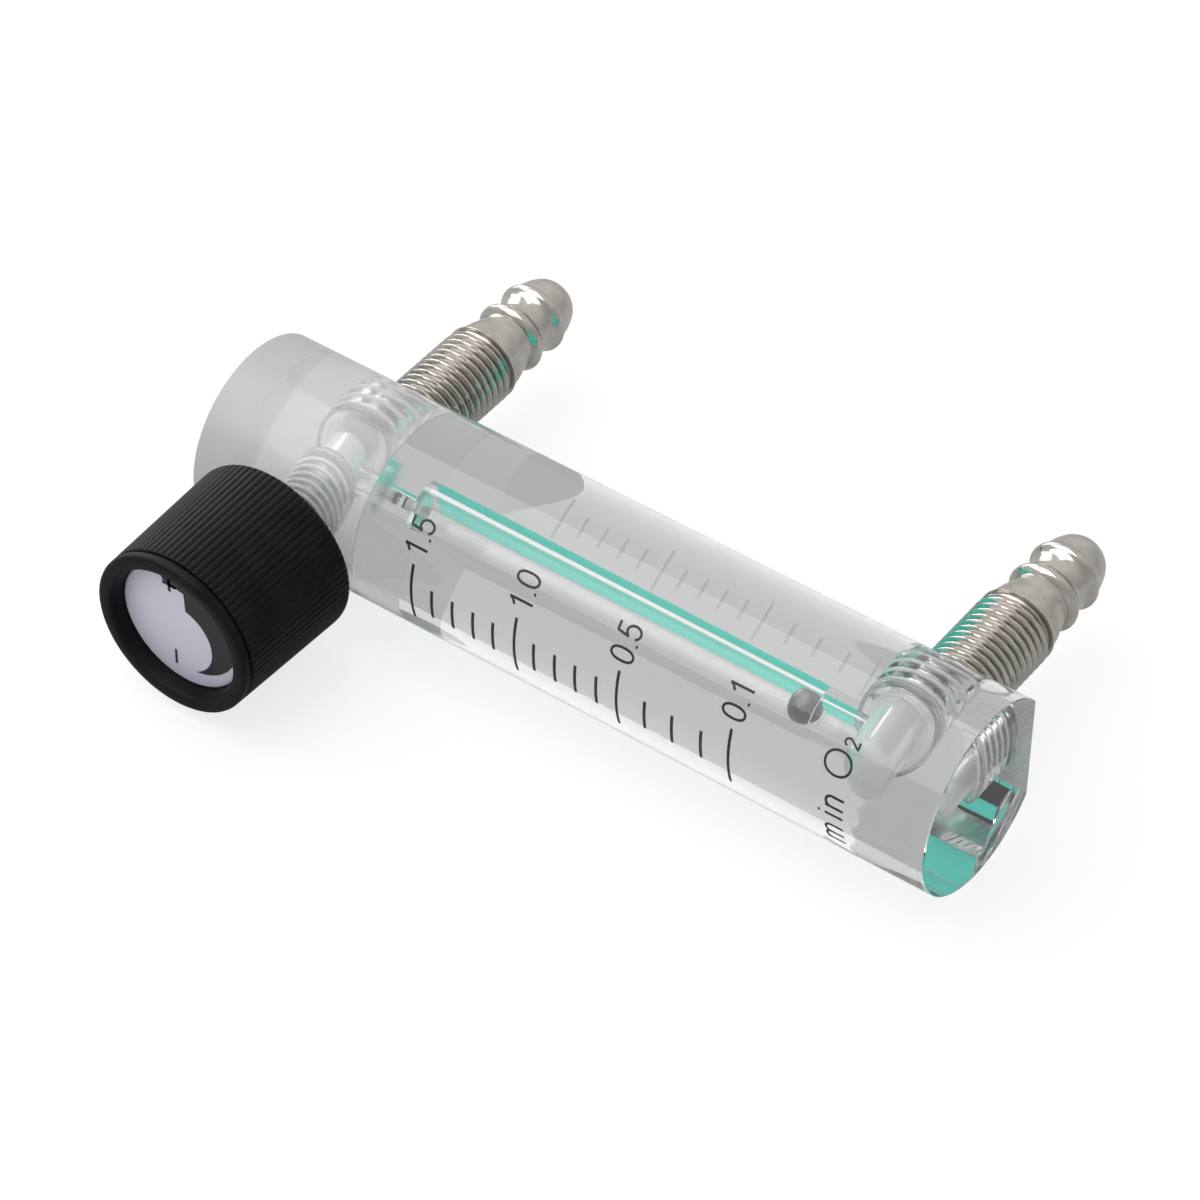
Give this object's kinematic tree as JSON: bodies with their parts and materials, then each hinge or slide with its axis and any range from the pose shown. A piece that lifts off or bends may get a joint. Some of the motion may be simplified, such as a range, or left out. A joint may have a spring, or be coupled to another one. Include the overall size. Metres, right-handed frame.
{
  "type": "oxygen flowmeter",
  "caption": "Clear D-section panel flowmeter with a tapered bore and float ball, a needle valve with a ribbed black knob, and two barbed hose fittings on threaded shanks at its flat back.",
  "frame": {"origin": "the centre of the flat back, on the plane that goes against a panel, midway between the axes of the inlet and outlet fittings", "axes": "+X along the rod from the valve end towards the inlet end; +Y out of the flat back, the way the fittings point, with the knob towards -Y; +Z across the rod, up as the picture shows it lying"},
  "size_m": [0.1012, 0.0732, 0.024],
  "materials": {
    "clear_acrylic": "polished clear acrylic",
    "backing_teal": "satin teal film",
    "ball_black": "polished black",
    "stop_white": "natural white",
    "nickel_plated_brass": "bright nickel plate",
    "bush_metal": "turned, nickel plated",
    "spindle_steel": "turned stainless steel",
    "seal_white": "natural white",
    "seal_black": "moulded",
    "knob_black": "satin moulded black",
    "disc_lilac": "smooth satin"
  },
  "bodies": {
    "housing": {"valve_block": "clear_acrylic", "metering_tube": "clear_acrylic", "backing_strip": "backing_teal", "float_stop": "stop_white", "inlet_fitting": "nickel_plated_brass", "outlet_fitting": "nickel_plated_brass", "inlet_seal": "seal_white", "outlet_seal": "seal_white", "valve_bush": "bush_metal", "bush_seal": "seal_white"},
    "float": {"float_ball": "ball_black"},
    "valve_carrier": {"spindle_seal": "seal_black"},
    "valve_knob": {"valve_spindle": "spindle_steel", "knob": "knob_black", "knob_disc": "disc_lilac"}
  },
  "joints": [
    {"name": "float_travel", "type": "slide", "parent": "housing", "child": "float", "axis": [-1, 0, 0], "range_m": [0, 0.0513]},
    {"name": "valve_travel", "type": "slide", "parent": "housing", "child": "valve_carrier", "axis": [0, 1, 0], "range_m": [-0.00151, 0.00188]},
    {"name": "valve_turn", "type": "hinge", "parent": "valve_carrier", "child": "valve_knob", "pos_m": [-0.03768, 0, 0], "axis": [0, 1, 0], "range_deg": [-720, 900]}
  ],
  "couplings": [
    {"joint": "valve_travel", "follows": "valve_turn", "m_per_rad": 0.00011937}
  ]
}
